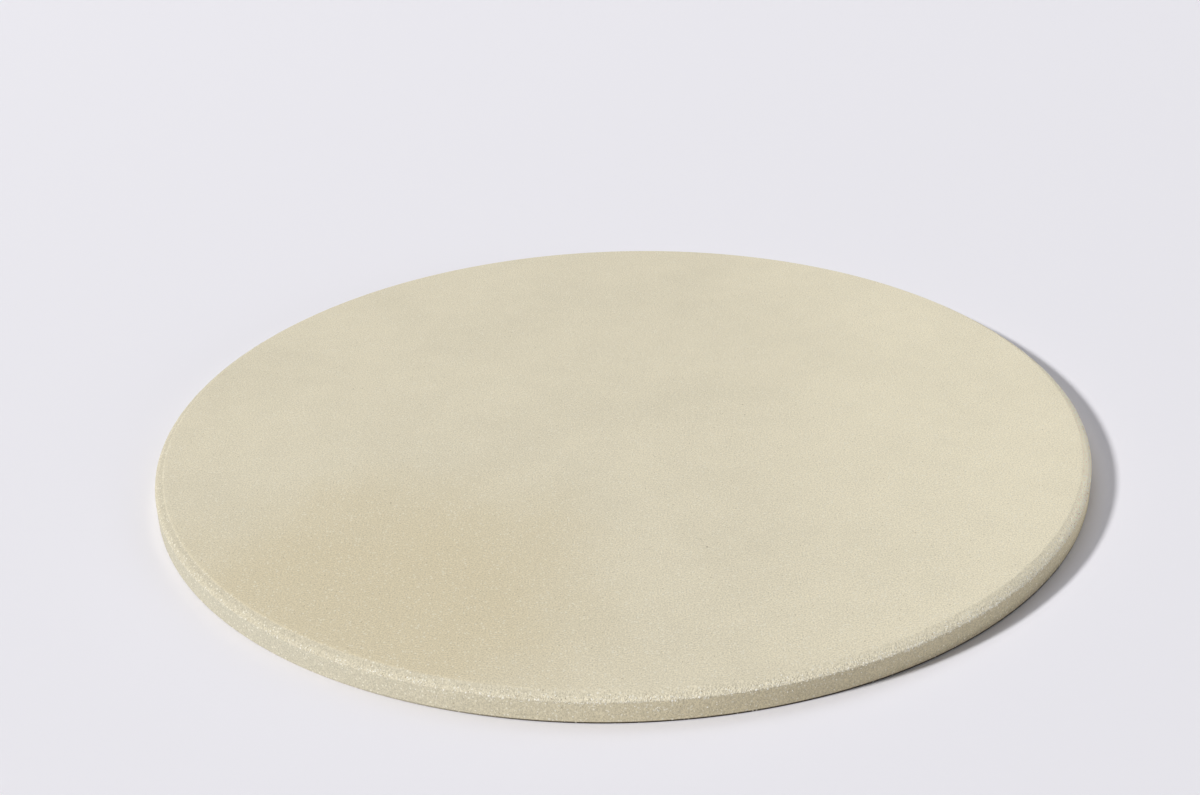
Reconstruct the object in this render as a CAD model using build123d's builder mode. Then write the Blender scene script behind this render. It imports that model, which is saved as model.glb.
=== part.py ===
from build123d import *
import os

os.makedirs("parts", exist_ok=True)

# A round baking stone: one slab of pressed and fired ceramic that lies flat
# on its whole underside. All sizes are in millimetres. The origin is at the
# centre of the underside, and +Z points up through the baking face.

# The slab
stone_diameter = 381.0
stone_thickness = 10.4

# The bevel round the baking face. It falls gently from the face to a soft
# knee, and then more steeply to the side.
bevel_width = 3.6
bevel_height = 2.4
knee_inset = 1.4
knee_drop = 1.2
knee_rounding = 6.5

# How softly the bevel's two edges are rounded
bevel_top_softening = 1.0
bevel_side_softening = 0.8

# The rounding where the side turns under into the underside
foot_rounding = 0.3

# Radii and heights of the corners of the slab's outline
side_radius = stone_diameter / 2
baking_face_radius = side_radius - bevel_width
bevel_foot_height = stone_thickness - bevel_height
knee_radius = side_radius - knee_inset
knee_height = stone_thickness - knee_drop


# Half of the slab's outline, turned once round the vertical axis
with BuildPart() as baking_stone:
    with BuildSketch(Plane.XZ) as half_section:
        with BuildLine() as outline:
            Polyline(
                (0, 0),
                (side_radius, 0),
                (side_radius, bevel_foot_height),
                (knee_radius, knee_height),
                (baking_face_radius, stone_thickness),
                (0, stone_thickness),
                close=True,
            )
        make_face()
        knee_corner = half_section.vertices().group_by(Axis.X)[-2].sort_by(Axis.Y)[-1]
        fillet(knee_corner, radius=knee_rounding)
        bevel_side_corner = half_section.vertices().group_by(Axis.X)[-1].sort_by(Axis.Y)[-1]
        fillet(bevel_side_corner, radius=bevel_side_softening)
        bevel_top_corner = half_section.vertices().group_by(Axis.Y)[-1].sort_by(Axis.X)[-1]
        fillet(bevel_top_corner, radius=bevel_top_softening)
        foot_corner = half_section.vertices().group_by(Axis.Y)[0].sort_by(Axis.X)[-1]
        fillet(foot_corner, radius=foot_rounding)
    revolve(axis=Axis.Z)

baking_stone.part.label = "baking_stone"
export_step(baking_stone.part, "parts/baking_stone.step")

print("baking_stone: volume in mm3", round(baking_stone.part.volume, 1))
print("baking_stone: box in mm", baking_stone.part.bounding_box())
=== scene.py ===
from math import cos, pi, radians, sin, tau
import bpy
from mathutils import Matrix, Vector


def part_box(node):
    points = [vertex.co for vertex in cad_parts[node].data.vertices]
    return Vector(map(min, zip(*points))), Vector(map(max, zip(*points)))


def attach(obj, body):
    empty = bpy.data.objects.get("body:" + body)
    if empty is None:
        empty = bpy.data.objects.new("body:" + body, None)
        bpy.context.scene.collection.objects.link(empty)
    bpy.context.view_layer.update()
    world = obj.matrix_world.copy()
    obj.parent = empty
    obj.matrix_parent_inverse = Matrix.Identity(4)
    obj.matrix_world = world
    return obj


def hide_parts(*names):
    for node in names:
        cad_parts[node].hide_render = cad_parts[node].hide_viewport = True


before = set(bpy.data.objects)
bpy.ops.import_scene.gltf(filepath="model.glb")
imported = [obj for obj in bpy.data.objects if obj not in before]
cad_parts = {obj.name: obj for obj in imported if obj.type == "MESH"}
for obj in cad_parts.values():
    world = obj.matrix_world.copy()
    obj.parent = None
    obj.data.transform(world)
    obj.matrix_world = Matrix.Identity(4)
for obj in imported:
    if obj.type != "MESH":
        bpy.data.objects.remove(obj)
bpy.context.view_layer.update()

from types import SimpleNamespace

import bpy
from mathutils import Matrix, Vector

# A round baking stone: one slab of pressed and fired ceramic, bevelled round
# its baking face, with the open sandy grain that such a slab has at its rim.
# Lengths are in metres. MM stands for one millimetre.
MM = 0.001

# The slab, as the frame holds it
slab_low, slab_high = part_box("baking_stone")
slab_radius = min(slab_high.x, slab_high.y, -slab_low.x, -slab_low.y)
slab_thickness = slab_high.z - slab_low.z

# The pressed rim: a bevel that steepens at a soft knee, and a side that turns under at the foot
bevel_width = 3.6 * MM
bevel_height = 2.4 * MM
knee_inset = 1.4 * MM
knee_drop = 1.2 * MM
knee_rounding = 6.5 * MM
bevel_top_softening = 1.0 * MM
bevel_side_softening = 0.8 * MM
foot_rounding = 0.3 * MM

# The bare rim lies this far inside the frame's solid, which leaves room for grains to stand proud
grain_room = 0.11 * MM
rim_radius = slab_radius - grain_room

# Where the bevel starts, as a radius, and where it ends, as a height
bevel_start = rim_radius - bevel_width
bevel_foot = slab_thickness - bevel_height

# How wide the hollows, the lumps and the long waves of the rim's surface are
hollow_size = 1.5 * MM
lump_size = 7.0 * MM
wave_size = 45.0 * MM

# Relief shallower than this share of its full depth is left flat
flat_share = 0.25


# Small helpers for node trees

def feed(tree, socket, value):
    """Links a socket to another node's output, or sets its own value."""
    if isinstance(value, bpy.types.NodeSocket):
        tree.links.new(value, socket)
    else:
        socket.default_value = value


def put(tree, kind, inputs=None, **settings):
    """Adds a node with its settings and its inputs, each input by its name or its number."""
    node = tree.nodes.new(kind)
    for name, value in settings.items():
        setattr(node, name, value)
    for name, value in (inputs or {}).items():
        feed(tree, node.inputs[name], value)
    return node


def calc(tree, operation, *values):
    """One sum on numbers."""
    return put(tree, "ShaderNodeMath", dict(enumerate(values)), operation=operation).outputs[0]


def total(tree, *values):
    """The sum of several numbers."""
    result = values[0]
    for value in values[1:]:
        result = calc(tree, "ADD", result, value)
    return result


def product(tree, *values):
    """Several numbers multiplied."""
    result = values[0]
    for value in values[1:]:
        result = calc(tree, "MULTIPLY", result, value)
    return result


def split(tree, vector):
    """A vector's X, Y and Z."""
    return put(tree, "ShaderNodeSeparateXYZ", {0: vector}).outputs


def stretch(tree, vector, amount):
    """A vector made longer or shorter, or a colour made lighter or darker."""
    return put(tree, "ShaderNodeVectorMath", {0: vector, "Scale": amount}, operation="SCALE").outputs[0]


def length_of(tree, vector):
    """A vector's length."""
    return put(tree, "ShaderNodeVectorMath", {0: vector}, operation="LENGTH").outputs["Value"]


def blend_range(tree, value, low, high, to_low=0.0, to_high=1.0, shape="SMOOTHSTEP"):
    """Carries a value from one range to another and holds it at the ends."""
    inputs = {"Value": value, "From Min": low, "From Max": high, "To Min": to_low, "To Max": to_high}
    return put(tree, "ShaderNodeMapRange", inputs, interpolation_type=shape).outputs[0]


def mix_number(tree, share, low, high):
    """A number between two, by a share from 0 to 1."""
    return put(tree, "ShaderNodeMix", {0: share, 2: low, 3: high}, data_type="FLOAT").outputs[0]


def noise(tree, place, size, detail=2.0):
    """Soft cloudy variation round 0.5, whose lumps are about as wide as size."""
    inputs = {"Vector": place, "Scale": 1 / size, "Detail": detail, "Roughness": 0.5}
    return put(tree, "ShaderNodeTexNoise", inputs).outputs[0]


def reach_from_axis(tree, x, y):
    """How far a place is from the slab's axis."""
    return calc(tree, "SQRT", total(tree, product(tree, x, x), product(tree, y, y)))


# Geometry trees

def new_tree(name, sizes):
    """A geometry tree with one named input for each size, and its inputs and outputs."""
    tree = bpy.data.node_groups.new(name, "GeometryNodeTree")
    tree.interface.new_socket("Geometry", in_out="INPUT", socket_type="NodeSocketGeometry")
    tree.interface.new_socket("Geometry", in_out="OUTPUT", socket_type="NodeSocketGeometry")
    kinds = {float: "NodeSocketFloat", int: "NodeSocketInt", bpy.types.Material: "NodeSocketMaterial"}
    for label, value in sizes.items():
        tree.interface.new_socket(label, in_out="INPUT", socket_type=kinds[type(value)])
    given = tree.nodes.new("NodeGroupInput").outputs
    result = tree.nodes.new("NodeGroupOutput").inputs[0]
    return tree, given, result


def grow(name, tree, sizes, start=None):
    """Runs a geometry tree on a mesh and keeps the result as a plain mesh object."""
    base = start.copy() if start else bpy.data.meshes.new(name + "_start")
    holder = bpy.data.objects.new(name + "_holder", base)
    bpy.context.scene.collection.objects.link(holder)
    maker = holder.modifiers.new(name, "NODES")
    maker.node_group = tree
    for item in tree.interface.items_tree:
        if item.in_out == "INPUT" and item.name in sizes:
            maker[item.identifier] = sizes[item.name]
    bpy.context.view_layer.update()
    shaped = holder.evaluated_get(bpy.context.evaluated_depsgraph_get())
    mesh = bpy.data.meshes.new_from_object(shaped)
    mesh.name = name
    holder.modifiers.clear()
    bpy.data.objects.remove(holder)
    bpy.data.meshes.remove(base)
    piece = bpy.data.objects.new(name, mesh)
    bpy.context.scene.collection.objects.link(piece)
    return piece


def here(tree):
    """The place of each point."""
    return tree.nodes.new("GeometryNodeInputPosition").outputs[0]


def put_at(tree, mesh, place):
    """A mesh with each point set to its new place."""
    return put(tree, "GeometryNodeSetPosition", {"Geometry": mesh, "Position": place}).outputs[0]


def shift(tree, mesh, offset):
    """A mesh with each point moved by an offset."""
    return put(tree, "GeometryNodeSetPosition", {"Geometry": mesh, "Offset": offset}).outputs[0]


def point_at(tree, **parts):
    """A vector from its X, Y and Z, each 0 where it isn't given."""
    return put(tree, "ShaderNodeCombineXYZ", parts).outputs[0]


def joined(tree, meshes):
    """Several meshes as one."""
    whole = tree.nodes.new("GeometryNodeJoinGeometry")
    for mesh in meshes:
        tree.links.new(mesh, whole.inputs[0])
    return whole.outputs[0]


def store(tree, mesh, name, value, domain):
    """Keeps a number on a mesh under a name, for the materials and later trees to read."""
    inputs = {"Geometry": mesh, "Name": name, "Value": value}
    return put(tree, "GeometryNodeStoreNamedAttribute", inputs, data_type="FLOAT", domain=domain).outputs[0]


def dressed(tree, mesh, material):
    """The tree's last steps: real geometry, in its material."""
    real = put(tree, "GeometryNodeRealizeInstances", {"Geometry": mesh}).outputs[0]
    return put(tree, "GeometryNodeSetMaterial", {"Geometry": real, "Material": material}).outputs[0]


def corner_switch(tree, kind, values):
    """A different value at each corner of a line, by the corner's number."""
    switch = tree.nodes.new("GeometryNodeIndexSwitch")
    switch.data_type = kind
    while len(switch.index_switch_items) < len(values):
        switch.index_switch_items.new()
    feed(tree, switch.inputs["Index"], tree.nodes.new("GeometryNodeInputIndex").outputs[0])
    for number, value in enumerate(values):
        feed(tree, switch.inputs[str(number)], value)
    return switch.outputs[0]


# The slab

def rim_outline(tree, given, top_start, foot_end):
    """The rim's outline as a curve, X as radius: across the bevel, down the side and in under the foot."""
    radius = given["Rim Radius"]
    thickness = given["Slab Thickness"]
    bevel_top_radius = calc(tree, "SUBTRACT", radius, given["Bevel Width"])
    bevel_foot_height = calc(tree, "SUBTRACT", thickness, given["Bevel Height"])
    knee_radius = calc(tree, "SUBTRACT", radius, given["Knee Inset"])
    knee_height = calc(tree, "SUBTRACT", thickness, given["Knee Drop"])
    corners = [
        (top_start, thickness),
        (bevel_top_radius, thickness),
        (knee_radius, knee_height),
        (radius, bevel_foot_height),
        (radius, 0.0),
        (foot_end, 0.0),
    ]
    roundings = [
        0.0,
        given["Bevel Top Softening"],
        given["Knee Rounding"],
        given["Bevel Side Softening"],
        given["Foot Rounding"],
        0.0,
    ]
    line = put(tree, "GeometryNodeMeshLine", {"Count": len(corners)}).outputs[0]
    places = [point_at(tree, X=x, Z=z) for x, z in corners]
    bent = put_at(tree, line, corner_switch(tree, "VECTOR", places))
    curve = put(tree, "GeometryNodeMeshToCurve", {"Mesh": bent}).outputs[0]
    rounding = corner_switch(tree, "FLOAT", roundings)
    inputs = {"Curve": curve, "Count": given["Rounding Steps"], "Radius": rounding}
    return put(tree, "GeometryNodeFilletCurve", inputs, mode="POLY").outputs[0]


def turned_rim(tree, given, outline):
    """A sheet of rows and steps, wrapped once round the slab along the outline."""
    rows = calc(tree, "ADD", given["Rim Rows"], 1)
    steps = calc(tree, "ADD", given["Rim Steps"], 1)
    inputs = {"Size X": 1.0, "Size Y": 1.0, "Vertices X": rows, "Vertices Y": steps}
    sheet = put(tree, "GeometryNodeMeshGrid", inputs).outputs[0]
    sheet_x, sheet_y, _ = split(tree, here(tree))
    along = calc(tree, "ADD", sheet_x, 0.5)
    turn = calc(tree, "MULTIPLY", calc(tree, "ADD", sheet_y, 0.5), tau)
    inputs = {"Curves": outline, "Factor": along}
    spot = put(tree, "GeometryNodeSampleCurve", inputs, mode="FACTOR", use_all_curves=True)
    inputs = {"Vector": spot.outputs["Position"], "Angle": turn}
    place = put(tree, "ShaderNodeVectorRotate", inputs, rotation_type="Z_AXIS").outputs[0]
    return put_at(tree, sheet, place)


def ring_face(tree, given, edge_radius, height):
    """A flat round face in even rings, with a band that joins the outer ring to the rim's finer steps."""
    inner = calc(tree, "MULTIPLY", edge_radius, given["Ringed Share"])
    sectors = 6
    half_sector = pi / sectors
    fan = put(tree, "GeometryNodeMeshCircle", {"Vertices": sectors, "Radius": 1.0}, fill_type="TRIANGLE_FAN")
    inputs = {"Mesh": fan.outputs[0], "Level": given["Face Halvings"]}
    rings = put(tree, "GeometryNodeSubdivideMesh", inputs).outputs[0]
    spot = here(tree)
    spot_x, spot_y, _ = split(tree, spot)
    angle = calc(tree, "ARCTAN2", spot_y, spot_x)
    in_sector = calc(tree, "FLOORED_MODULO", angle, 2 * half_sector)
    off_middle = calc(tree, "SUBTRACT", in_sector, half_sector)
    to_edge = calc(tree, "MULTIPLY", length_of(tree, spot), calc(tree, "COSINE", off_middle))
    ring = calc(tree, "DIVIDE", to_edge, cos(half_sector))
    spread = calc(tree, "DIVIDE", calc(tree, "TANGENT", off_middle), sin(half_sector) / cos(half_sector))
    even = calc(tree, "MULTIPLY", spread, half_sector)
    true_angle = calc(tree, "ADD", calc(tree, "SUBTRACT", angle, off_middle), even)
    radius = calc(tree, "MULTIPLY", ring, inner)
    x = calc(tree, "MULTIPLY", radius, calc(tree, "COSINE", true_angle))
    y = calc(tree, "MULTIPLY", radius, calc(tree, "SINE", true_angle))
    disc = put_at(tree, rings, point_at(tree, X=x, Y=y))
    ring_steps = calc(tree, "MULTIPLY", calc(tree, "POWER", 2.0, given["Face Halvings"]), sectors)
    circles = [
        put(tree, "GeometryNodeCurvePrimitiveCircle", {"Resolution": count, "Radius": size}).outputs[0]
        for count, size in ((given["Rim Steps"], edge_radius), (ring_steps, inner))
    ]
    band = put(tree, "GeometryNodeFillCurve", {0: joined(tree, circles)}, mode="TRIANGLES").outputs[0]
    return shift(tree, joined(tree, (disc, band)), point_at(tree, Z=height))


def press_in_grain(tree, given, mesh):
    """Marks where the rim's grain lies open, and presses its hollows inward there."""
    spot = here(tree)
    x, y, height = split(tree, spot)
    bevel_top_radius = calc(tree, "SUBTRACT", given["Rim Radius"], given["Bevel Width"])
    fade_start = calc(tree, "SUBTRACT", bevel_top_radius, given["Grain Fade In"])
    fade_end = calc(tree, "ADD", bevel_top_radius, given["Grain Fade Out"])
    outward = blend_range(tree, reach_from_axis(tree, x, y), fade_start, fade_end)
    above = blend_range(tree, height, given["Smooth Foot"], given["Open Side"])
    open_grain = product(tree, outward, above)
    marked = store(tree, mesh, "open_grain", open_grain, "POINT")
    relief = total(
        tree,
        product(tree, noise(tree, spot, hollow_size, detail=1.0), given["Hollow Depth"]),
        product(tree, noise(tree, spot, lump_size, detail=1.0), given["Lump Depth"]),
        product(tree, noise(tree, spot, wave_size, detail=0.0), given["Wave Depth"]),
    )
    full_depth = total(tree, given["Hollow Depth"], given["Lump Depth"], given["Wave Depth"])
    past_flat = calc(tree, "SUBTRACT", relief, product(tree, full_depth, flat_share))
    depth = calc(tree, "MAXIMUM", past_flat, 0.0)
    normal = tree.nodes.new("GeometryNodeInputNormal").outputs[0]
    return shift(tree, marked, stretch(tree, normal, product(tree, depth, open_grain, -1.0)))


def slab_tree(sizes):
    """The slab: rim and faces joined into one closed skin, with the rim's relief."""
    tree, given, result = new_tree("turned_slab", sizes)
    top_start = calc(tree, "SUBTRACT", given["Rim Radius"], given["Top Band"])
    foot_end = calc(tree, "SUBTRACT", given["Rim Radius"], given["Foot Band"])
    rim = turned_rim(tree, given, rim_outline(tree, given, top_start, foot_end))
    top = ring_face(tree, given, top_start, given["Slab Thickness"])
    under = ring_face(tree, given, foot_end, 0.0)
    under = put(tree, "GeometryNodeFlipFaces", {"Mesh": under}).outputs[0]
    inputs = {"Geometry": joined(tree, (rim, top, under)), "Distance": given["Weld Distance"]}
    closed = put(tree, "GeometryNodeMergeByDistance", inputs).outputs[0]
    pressed = press_in_grain(tree, given, closed)
    smooth = put(tree, "GeometryNodeSetShadeSmooth", {"Geometry": pressed}).outputs[0]
    tree.links.new(dressed(tree, smooth, given["Fired Stone"]), result)
    return tree


def make_slab(stone):
    sizes = {
        "Rim Radius": rim_radius,
        "Slab Thickness": slab_thickness,
        "Bevel Width": bevel_width,
        "Bevel Height": bevel_height,
        "Knee Inset": knee_inset,
        "Knee Drop": knee_drop,
        "Knee Rounding": knee_rounding,
        "Bevel Top Softening": bevel_top_softening,
        "Bevel Side Softening": bevel_side_softening,
        "Foot Rounding": foot_rounding,
        "Rounding Steps": 5,
        "Top Band": 5.0 * MM,
        "Foot Band": 1.7 * MM,
        "Ringed Share": 0.985,
        "Rim Rows": 44,
        "Rim Steps": 1920,
        "Face Halvings": 5,
        "Weld Distance": 0.02 * MM,
        "Grain Fade In": 1.2 * MM,
        "Grain Fade Out": 2.4 * MM,
        "Smooth Foot": 0.3 * MM,
        "Open Side": 1.5 * MM,
        "Hollow Depth": 0.16 * MM,
        "Lump Depth": 0.14 * MM,
        "Wave Depth": 0.16 * MM,
        "Fired Stone": stone,
    }
    return grow("fired_slab", slab_tree(sizes), sizes)


# The coarse grains that stand out of the rim

# Each kind of draw has its own seed, so that no draw follows another
rarity_seed = 1
width_seed = 2
height_seed = 3
proud_seed = 4
turn_seed = 5
tone_seed = 6

# Crowding is given in grains per square millimetre and used in grains per square metre
square_mm_per_square_metre = 1 / MM ** 2


def chance(tree, low, high, seed):
    """A number drawn for each grain between two others."""
    inputs = {2: low, 3: high, "Seed": seed}
    return put(tree, "FunctionNodeRandomValue", inputs, data_type="FLOAT").outputs[1]


def grain_crowding(tree, given):
    """How many grains a square metre of the rim holds, from place to place."""
    x, y, height = split(tree, here(tree))
    reach = reach_from_axis(tree, x, y)
    bevel_top_radius = calc(tree, "SUBTRACT", given["Rim Radius"], given["Bevel Width"])
    bevel_foot_height = calc(tree, "SUBTRACT", given["Slab Thickness"], given["Bevel Height"])
    down_bevel = blend_range(tree, reach, bevel_top_radius, given["Rim Radius"], shape="LINEAR")
    squared = product(tree, down_bevel, down_bevel)
    on_bevel = blend_range(tree, squared, 0.0, 1.0, given["Upper Bevel Grains"], given["Lower Bevel Grains"])
    edge_end = calc(tree, "SUBTRACT", bevel_foot_height, given["Edge Fade"])
    below_edge = blend_range(tree, height, bevel_foot_height, edge_end)
    down_side = blend_range(tree, height, bevel_foot_height, 0.0, shape="LINEAR")
    on_side = blend_range(tree, down_side, 0.0, 1.0, given["Upper Side Grains"], given["Lower Side Grains"])
    crowd = mix_number(tree, below_edge, on_bevel, on_side)
    inputs = {"Name": "open_grain"}
    open_grain = put(tree, "GeometryNodeInputNamedAttribute", inputs, data_type="FLOAT").outputs[0]
    clear_of_face = blend_range(tree, open_grain, given["Clear Of Face"], given["Well On Rim"])
    at_left = given["Crowding At Left"]
    at_right = given["Crowding At Right"]
    to_right = blend_range(tree, x, -slab_radius, slab_radius, at_left, at_right, "LINEAR")
    return product(tree, crowd, clear_of_face, to_right, square_mm_per_square_metre)


def grain_tree(sizes):
    """Small blunt grains, half sunk in the rim and densest towards the bevel's lower edge."""
    tree, given, result = new_tree("rim_grains", sizes)
    inputs = {"Mesh": given["Geometry"], "Density": grain_crowding(tree, given), "Seed": given["Seed"]}
    sown = put(tree, "GeometryNodeDistributePointsOnFaces", inputs, distribute_method="RANDOM")
    rarity = chance(tree, 0.0, 1.0, rarity_seed)
    cubed = product(tree, rarity, rarity, rarity)
    size = blend_range(tree, cubed, 0.0, 1.0, given["Smallest Grain"], given["Largest Grain"], "LINEAR")
    width_share = chance(tree, given["Narrowest Share"], given["Widest Share"], width_seed)
    height_share = chance(tree, given["Flattest Share"], given["Tallest Share"], height_seed)
    proud_share = chance(tree, given["Least Proud Share"], given["Most Proud Share"], proud_seed)
    half_length = product(tree, size, 0.5)
    half_width = product(tree, size, width_share)
    half_height = product(tree, size, height_share)
    proud = calc(tree, "MINIMUM", product(tree, size, proud_share), given["Grain Room"])
    rise = stretch(tree, sown.outputs["Normal"], calc(tree, "SUBTRACT", proud, half_height))
    seated = shift(tree, sown.outputs["Points"], rise)
    turn = point_at(tree, Z=chance(tree, 0.0, tau, turn_seed))
    turned = put(tree, "FunctionNodeEulerToRotation", {0: turn}).outputs[0]
    inputs = {"Rotation": sown.outputs["Rotation"], "Rotate By": turned}
    stance = put(tree, "FunctionNodeRotateRotation", inputs, rotation_space="LOCAL").outputs[0]
    blunt = put(tree, "GeometryNodeMeshIcoSphere", {"Radius": 1.0, "Subdivisions": 1}).outputs[0]
    extent = point_at(tree, X=half_length, Y=half_width, Z=half_height)
    inputs = {"Points": seated, "Instance": blunt, "Rotation": stance, "Scale": extent}
    grains = put(tree, "GeometryNodeInstanceOnPoints", inputs).outputs[0]
    toned = store(tree, grains, "grain_tone", chance(tree, 0.0, 1.0, tone_seed), "INSTANCE")
    tree.links.new(dressed(tree, toned, given["Grog"]), result)
    return tree


def make_grains(slab, grog):
    sizes = {
        "Rim Radius": rim_radius,
        "Slab Thickness": slab_thickness,
        "Bevel Width": bevel_width,
        "Bevel Height": bevel_height,
        "Edge Fade": 0.8 * MM,
        "Upper Bevel Grains": 0.15,
        "Lower Bevel Grains": 2.2,
        "Upper Side Grains": 0.2,
        "Lower Side Grains": 0.1,
        "Clear Of Face": 0.35,
        "Well On Rim": 0.6,
        "Crowding At Left": 0.25,
        "Crowding At Right": 2.1,
        "Smallest Grain": 0.30 * MM,
        "Largest Grain": 0.85 * MM,
        "Narrowest Share": 0.35,
        "Widest Share": 0.5,
        "Flattest Share": 0.26,
        "Tallest Share": 0.40,
        "Least Proud Share": 0.08,
        "Most Proud Share": 0.22,
        "Grain Room": grain_room,
        "Seed": 7,
        "Grog": grog,
    }
    return grow("grog_grains", grain_tree(sizes), sizes, start=slab.data)


# Materials

def paint(red, green, blue):
    """A colour as a screen shows it, from 0 to 255, made linear."""
    def straight(level):
        share = level / 255
        return share / 12.92 if share <= 0.04045 else ((share + 0.055) / 1.055) ** 2.4
    return (straight(red), straight(green), straight(blue), 1.0)


# The clay's colours, some of them painted light and shade as marked
# Painted light and shade: the clay is darker at the left and lighter at the right
clay_at_left_painted_shade = paint(221, 212, 187)
clay_at_right_painted_light = paint(230, 221, 195)
# Painted shade with a warm tint of bounced light, for a patch on the baking face
shaded_patch_clay = paint(213, 200, 168)
side_clay_at_left = paint(217, 212, 191)
# The side's warmer colour towards the right is painted warm bounce light
side_clay_in_warm_bounce = paint(214, 201, 165)
# Painted shade: the brown low on the side, and the dark line of contact shade at the foot
low_side_painted_shade = paint(142, 120, 90)
foot_painted_shade = paint(46, 33, 23)

# The colours of what lies in the clay
grog_white = paint(236, 231, 213)
# The pores' darker colour is painted shade inside the pits
pore_painted_shade = paint(164, 150, 120)
iron_brown = paint(104, 86, 62)
dull_grain = paint(222, 214, 192)
bright_grain = paint(252, 248, 236)
brown_grain = paint(176, 158, 126)

# How softly the baking face's colours end at the bevel, and the bevel's at the side
face_fade_in = 0.3 * MM
face_fade_out = 0.6 * MM
side_fade_up = 0.3 * MM
side_fade_down = 0.4 * MM

# The ring that keeps the side's colours off the underside, as distances in from the side
outermost_start = 1.2 * MM
outermost_full = 0.6 * MM

# The clouds in the clay: how wide they are, and how much they darken and lighten it
cloud_size = 60 * MM
drift_size = 13 * MM
darkest_cloud = 0.985
palest_cloud = 1.015

# The patch of painted shade on the baking face, warmed with painted bounce light: its centre, how far out it
# starts to fade and ends, and how ragged its edge is
shaded_patch_centre = Vector((-88 * MM, -132 * MM, slab_thickness))
shaded_patch_core = 60 * MM
shaded_patch_edge = 140 * MM
shaded_patch_lump_size = 35 * MM
shaded_patch_raggedness = 60 * MM

# The bevel's paler lower part, as distances out from its start
pale_bevel_start = 1.0 * MM
pale_bevel_full = 2.6 * MM

# The painted shade low on the side and the dark painted contact shade at its foot, as heights
low_shade_top = 4.0 * MM
low_shade_full = 0.8 * MM
foot_shade_top = 0.8 * MM
foot_shade_full = 0.5 * MM

# The grain: how wide each kind is, and how wide the cells are that hold one of it at most
sand_size = 0.55 * MM
coarse_size = 1.1 * MM
grog_cell = 1.3 * MM
widest_grog = 1.0 * MM
pore_cell = 2.1 * MM
widest_pore = 0.7 * MM
iron_cell = 13 * MM
widest_iron = 0.9 * MM
dry_patch_size = 9 * MM
dust_size = 0.3 * MM


def new_material(name):
    """A material with its tree, its shader and the place of each point in it."""
    material = bpy.data.materials.new(name)
    material.use_nodes = True
    tree = material.node_tree
    place = tree.nodes.new("ShaderNodeTexCoord").outputs["Object"]
    return material, tree, tree.nodes["Principled BSDF"], place


def kept(tree, name):
    """A number that a geometry tree stored on the mesh."""
    return put(tree, "ShaderNodeAttribute", attribute_name=name).outputs["Fac"]


def mix_colour(tree, share, low, high):
    """A colour between two, by a share from 0 to 1."""
    return put(tree, "ShaderNodeMix", {0: share, 6: low, 7: high}, data_type="RGBA").outputs[2]


def spots(tree, place, cell, widest, share):
    """Round spots, one at the heart of a share of the cells: 1 inside a spot and 0 outside."""
    cells = put(tree, "ShaderNodeTexVoronoi", {"Vector": place, "Scale": 1 / cell})
    chosen = put(tree, "ShaderNodeSeparateColor", {0: cells.outputs["Color"]})
    has_spot = calc(tree, "LESS_THAN", chosen.outputs["Red"], share)
    size = blend_range(tree, chosen.outputs["Green"], 0.0, 1.0, to_low=0.55)
    outer = product(tree, size, widest / 2 / cell)
    inner = product(tree, outer, 0.5)
    return product(tree, has_spot, blend_range(tree, cells.outputs["Distance"], outer, inner))


def across_stone(tree, spot, start_share, end_share, to_low=0.0, to_high=1.0, shape="SMOOTHSTEP"):
    """A value that changes from left to right, between two shares of the slab's radius."""
    start = start_share * slab_radius
    return blend_range(tree, spot.across, start, end_share * slab_radius, to_low, to_high, shape)


def where_on_stone(tree, place):
    """How far across, out and up each place is, and how much it is baking face, bevel or side."""
    across, along, height = split(tree, place)
    reach = reach_from_axis(tree, across, along)
    past_face = blend_range(tree, reach, bevel_start - face_fade_in, bevel_start + face_fade_out)
    above_side = blend_range(tree, height, bevel_foot - side_fade_down, bevel_foot + side_fade_up)
    outermost = blend_range(tree, reach, rim_radius - outermost_start, rim_radius - outermost_full)
    return SimpleNamespace(
        across=across,
        reach=reach,
        height=height,
        outermost=outermost,
        on_face=product(tree, calc(tree, "SUBTRACT", 1.0, past_face), above_side),
        on_bevel=product(tree, past_face, above_side),
        on_side=product(tree, outermost, calc(tree, "SUBTRACT", 1.0, above_side)),
    )


def cloudy_clay(tree, place, spot):
    """The clay's tone, painted lighter towards the right as painted light, and cloudy from the mixing."""
    # Painted light: the clay grows lighter from left to right
    clay = mix_colour(tree, across_stone(tree, spot, 0.1, 0.8), clay_at_left_painted_shade, clay_at_right_painted_light)
    wide = noise(tree, place, cloud_size)
    small = noise(tree, place, drift_size)
    cloud = blend_range(tree, wide, 0.35, 0.65, darkest_cloud, palest_cloud)
    drift = blend_range(tree, small, 0.3, 0.7, darkest_cloud, palest_cloud, "LINEAR")
    return stretch(tree, clay, product(tree, cloud, drift))


def toast_face(tree, place, spot, clay):
    """A patch of the baking face painted darker and warmer: painted shade with warm bounce light."""
    inputs = {0: place, 1: shaded_patch_centre}
    from_centre = put(tree, "ShaderNodeVectorMath", inputs, operation="SUBTRACT").outputs[0]
    ragged = product(tree, noise(tree, place, shaded_patch_lump_size, detail=3.0), shaded_patch_raggedness)
    out = calc(tree, "ADD", length_of(tree, from_centre), ragged)
    # Painted shade: how much of the patch's darker, warmer colour lies here
    patch_share = blend_range(tree, out, shaded_patch_edge, shaded_patch_core, to_high=0.75)
    return mix_colour(tree, product(tree, patch_share, spot.on_face), clay, shaded_patch_clay)


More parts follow.
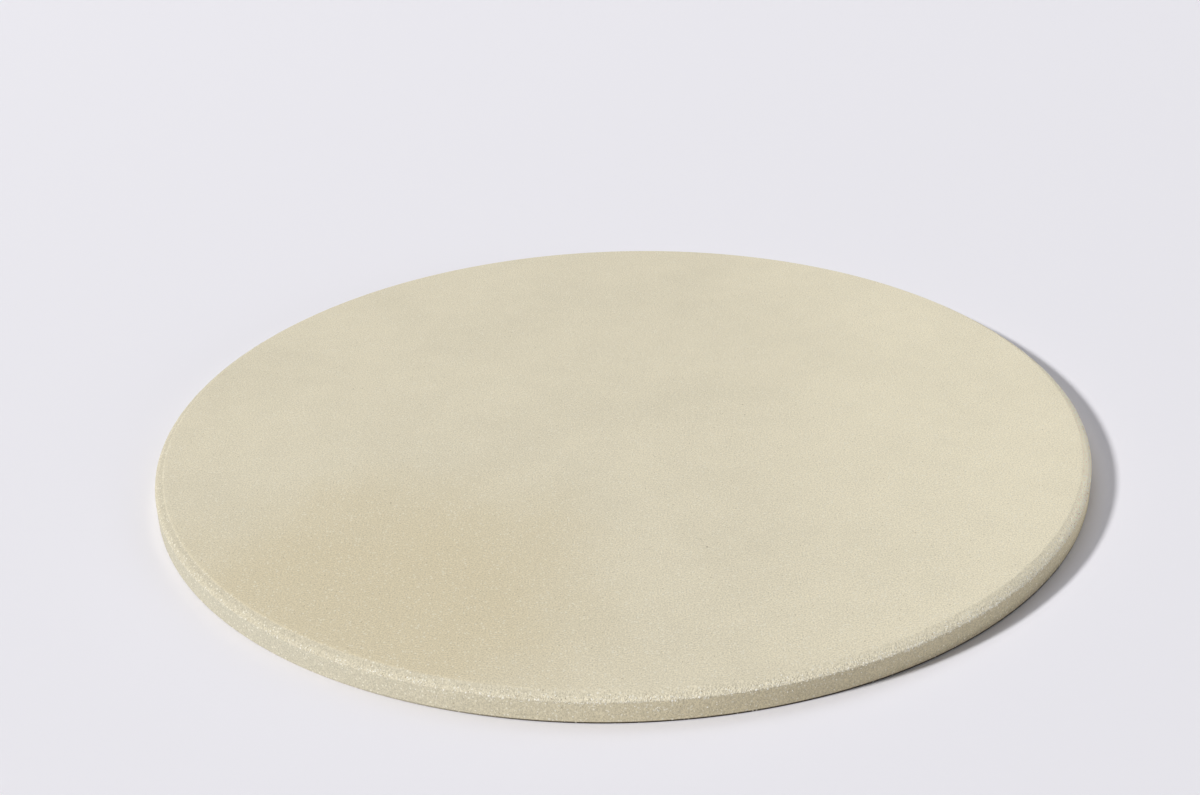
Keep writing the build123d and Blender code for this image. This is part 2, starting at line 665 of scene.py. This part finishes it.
def fire_rim(tree, spot, clay):
    """The bevel's lower part is paler. Painted light and shade: the bevel and the side are darker at the
    left and lighter at the right, and the side turns warmer towards the right as painted bounce light.
    """
    # Painted light and shade: the bevel and the side darken at the left and lighten at the right
    bevel_left = across_stone(tree, spot, -0.8, 0.2, to_low=0.735, to_high=1.035, shape="LINEAR")
    bevel_right = across_stone(tree, spot, 0.72, 0.97, to_low=1.0, to_high=1.32)
    low_start = bevel_start + pale_bevel_start
    bevel_low = blend_range(tree, spot.reach, low_start, bevel_start + pale_bevel_full, 1.0, 1.07)
    bevel_tone = product(tree, bevel_left, bevel_right, bevel_low)
    side_left = across_stone(tree, spot, -0.95, 0.05, to_low=0.68, to_high=0.96, shape="LINEAR")
    side_right = across_stone(tree, spot, 0.78, 0.97, to_low=1.0, to_high=1.4)
    side_tone = product(tree, side_left, side_right)
    rim_light_and_shade = mix_number(tree, spot.on_bevel, 1.0, bevel_tone)
    rim_light_and_shade = mix_number(tree, spot.on_side, rim_light_and_shade, side_tone)
    clay = stretch(tree, clay, rim_light_and_shade)
    # Painted bounce light: the side turns warmer towards the right
    warm_bounce_share = across_stone(tree, spot, -0.75, 0.3)
    side_clay = stretch(tree, mix_colour(tree, warm_bounce_share, side_clay_at_left, side_clay_in_warm_bounce), side_tone)
    return mix_colour(tree, product(tree, spot.on_side, 0.65), clay, side_clay)


def brown_foot(tree, spot, clay):
    """Painted shade: brown low on the side towards the right, and a dark line of contact shade at the foot
    that fades at its two ends.
    """
    rising = blend_range(tree, spot.height, low_shade_top, low_shade_full, to_high=0.22)
    low_right_shade = product(tree, rising, spot.outermost, across_stone(tree, spot, 0.3, 0.8))
    clay = mix_colour(tree, low_right_shade, clay, low_side_painted_shade)
    # Painted contact shade: a dark line at the foot, fading out at the left and at the far right
    at_foot = blend_range(tree, spot.height, foot_shade_top, foot_shade_full)
    left_end = across_stone(tree, spot, -0.58, -0.05)
    right_end = across_stone(tree, spot, 0.78, 0.9, to_low=0.97, to_high=0.3)
    line = product(tree, at_foot, spot.outermost, left_end, right_end)
    return mix_colour(tree, line, clay, foot_painted_shade)


def roughness_of_grain(tree, spot):
    """How coarse the grain is: coarsest low on the bevel, finer to the left and on the side."""
    softer_left = across_stone(tree, spot, -0.9, -0.2, to_low=0.35, shape="LINEAR")
    down_bevel = blend_range(tree, spot.reach, bevel_start, rim_radius, 0.5, 1.1, "LINEAR")
    smooth_side = blend_range(tree, spot.on_side, 0.0, 1.0, 1.0, 0.27, "LINEAR")
    return product(tree, kept(tree, "open_grain"), softer_left, down_bevel, smooth_side)


def by_grain(tree, rough, fine, coarse, shape="LINEAR"):
    """A value that goes from that of the fine grain to that of the coarse grain."""
    return blend_range(tree, rough, 0.0, 1.0, fine, coarse, shape)


def sandy_grain(tree, place, rough, clay):
    """Fine sand, pale grog, dark pores and rare specks of iron, as colour and as relief in millimetres. The
    sand's hollows and the pores are painted darker as painted shade.
    """
    sand = noise(tree, place, sand_size, detail=1.0)
    # Grain and painted shade: the sand's colour follows its relief, darker in hollows and lighter on peaks
    sand_tone_and_shade = product(tree, calc(tree, "SUBTRACT", sand, 0.5), by_grain(tree, rough, 0.75, 0.95))
    clay = stretch(tree, clay, calc(tree, "ADD", sand_tone_and_shade, 1.0))
    grog = spots(tree, place, grog_cell, widest_grog, share=0.7)
    clay = mix_colour(tree, product(tree, grog, by_grain(tree, rough, 0.6, 0.95)), clay, grog_white)
    pores = spots(tree, place, pore_cell, widest_pore, share=0.5)
    # Painted shade: the pores are coloured darker where the relief dents them
    clay = mix_colour(tree, product(tree, pores, by_grain(tree, rough, 0.6, 0.8)), clay, pore_painted_shade)
    iron = spots(tree, place, iron_cell, widest_iron, share=0.35)
    clay = mix_colour(tree, product(tree, iron, 0.8), clay, iron_brown)
    coarse = noise(tree, place, coarse_size)
    relief = total(
        tree,
        product(tree, sand, by_grain(tree, rough, 0.04, 0.24)),
        product(tree, coarse, by_grain(tree, rough, 0.03, 0.3, "SMOOTHSTEP")),
        product(tree, grog, by_grain(tree, rough, 0.006, 0.05)),
        product(tree, pores, by_grain(tree, rough, -0.03, -0.12)),
    )
    return clay, relief


def fired_stone():
    """Dry unglazed cordierite: pale beige with a sandy grain, which is coarser where the rim is open."""
    material, tree, shader, place = new_material("fired_stone")
    spot = where_on_stone(tree, place)
    clay = cloudy_clay(tree, place, spot)
    clay = toast_face(tree, place, spot, clay)
    clay = fire_rim(tree, spot, clay)
    clay = brown_foot(tree, spot, clay)
    clay, relief = sandy_grain(tree, place, roughness_of_grain(tree, spot), clay)
    feed(tree, shader.inputs["Base Color"], clay)
    bump = put(tree, "ShaderNodeBump", {"Height": relief, "Distance": MM, "Strength": 1.0}).outputs[0]
    feed(tree, shader.inputs["Normal"], bump)
    dryness = blend_range(tree, noise(tree, place, dry_patch_size), 0.3, 0.7, 0.86, 0.95, "LINEAR")
    feed(tree, shader.inputs["Roughness"], dryness)
    shader.inputs["Specular IOR Level"].default_value = 0.3
    return material


def grog():
    """Pale crushed grains, each of its own tone, and painted lighter towards the right as painted light."""
    material, tree, shader, place = new_material("grog")
    tone = kept(tree, "grain_tone")
    pale = mix_colour(tree, blend_range(tree, tone, 0.0, 0.6), dull_grain, bright_grain)
    rare_brown = blend_range(tree, tone, 0.95, 0.96)
    colour = mix_colour(tree, rare_brown, pale, brown_grain)
    across, _, _ = split(tree, place)
    # Painted light: the grains grow lighter from left to right
    grains_painted_light = blend_range(tree, across, -slab_radius, slab_radius, 0.86, 1.12, "LINEAR")
    dust = blend_range(tree, noise(tree, place, dust_size), 0.3, 0.7, 0.93, 1.05, "LINEAR")
    feed(tree, shader.inputs["Base Color"], stretch(tree, colour, product(tree, dust, grains_painted_light)))
    shader.inputs["Roughness"].default_value = 0.65
    shader.inputs["Specular IOR Level"].default_value = 0.5
    return material


# The stage, the lamps and the camera

# The floor
floor_white = paint(239, 237, 241)
floor_half_width = 12.0

# The key lamp's white, and the slightly cooler white of the room and the fills
plain_white = (1.0, 1.0, 1.0)
cool_white = (0.98, 0.995, 1.04)

# How bright the room is
room_strength = 0.08

# Each lamp's azimuth from +X and elevation, in degrees, its distance and width, its power and its colour
lamps = {
    "key_lamp": (199, 33, 20.0, 2.4, 4130.0, plain_white),
    "back_fill": (115, 60, 7.0, 4.9, 105.0, cool_white),
    "back_right_fill": (45, 35, 5.0, 3.6, 44.0, cool_white),
    "front_right_fill": (-38, 12, 30.0, 10.8, 1476.0, cool_white),
}

# The photograph's frame, and how the stone sits in it
photo_width = 1200
photo_height = 795
focal_length_px = 1600
stone_centre_px = (620.4, 437.3)
camera_distance = 3.544 * slab_radius
camera_elevation = radians(28.24)
camera_roll = radians(-1.75)
aim_height = 0.3 * MM


def floor_paper():
    material = bpy.data.materials.new("pale_floor")
    material.use_nodes = True
    shader = material.node_tree.nodes["Principled BSDF"]
    shader.inputs["Base Color"].default_value = floor_white
    shader.inputs["Roughness"].default_value = 0.9
    shader.inputs["Specular IOR Level"].default_value = 0.1
    return material


def lay_floor():
    half = floor_half_width
    corners = [(-half, -half, 0), (half, -half, 0), (half, half, 0), (-half, half, 0)]
    mesh = bpy.data.meshes.new("floor")
    mesh.from_pydata(corners, [], [(0, 1, 2, 3)])
    mesh.materials.append(floor_paper())
    floor = bpy.data.objects.new("floor", mesh)
    bpy.context.scene.collection.objects.link(floor)


def hang_lamp(name, azimuth, elevation, distance, width, strength, colour):
    """A soft round lamp that faces the stone."""
    across = cos(radians(elevation))
    way = Vector((across * cos(radians(azimuth)), across * sin(radians(azimuth)), sin(radians(elevation))))
    lamp = bpy.data.lights.new(name, "AREA")
    lamp.shape = "DISK"
    lamp.size = width
    lamp.energy = strength
    lamp.color = colour
    lamp_object = bpy.data.objects.new(name, lamp)
    lamp_object.location = way * distance
    lamp_object.rotation_mode = "QUATERNION"
    lamp_object.rotation_quaternion = way.to_track_quat("Z", "Y")
    bpy.context.scene.collection.objects.link(lamp_object)


def light_the_room():
    world = bpy.data.worlds.new("room")
    bpy.context.scene.world = world
    world.use_nodes = True
    sky = world.node_tree.nodes["Background"]
    sky.inputs["Color"].default_value = (*cool_white, 1.0)
    sky.inputs["Strength"].default_value = room_strength


def set_camera():
    """The camera looks at the stone's centre from the front, then turns to put that centre at its pixel."""
    target = Vector((0, 0, aim_height))
    ahead = Vector((0, cos(camera_elevation), -sin(camera_elevation)))
    right = Vector((1, 0, 0))
    down = ahead.cross(right)
    facing = Matrix((right, down, ahead))
    across = stone_centre_px[0] - photo_width / 2
    below = stone_centre_px[1] - photo_height / 2
    sight = Vector((across, below, focal_length_px))
    turn = Vector((0, 0, 1)).rotation_difference(sight).to_matrix()
    axes = turn @ Matrix.Rotation(camera_roll, 3, "Z") @ facing
    camera = bpy.data.cameras.new("camera")
    camera.sensor_width = 36.0
    camera.lens = camera.sensor_width * focal_length_px / photo_width
    camera.clip_start = 0.01
    camera_object = bpy.data.objects.new("camera", camera)
    bpy.context.scene.collection.objects.link(camera_object)
    turned = Matrix((axes[0], -axes[1], -axes[2])).transposed().to_4x4()
    camera_object.matrix_world = Matrix.Translation(target - ahead * camera_distance) @ turned
    bpy.context.scene.camera = camera_object


slab = make_slab(fired_stone())
grains = make_grains(slab, grog())
for piece in (slab, grains):
    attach(piece, "root")
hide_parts("baking_stone")

lay_floor()
light_the_room()
for name, values in lamps.items():
    hang_lamp(name, *values)
set_camera()
bpy.context.scene.view_settings.view_transform = "Standard"
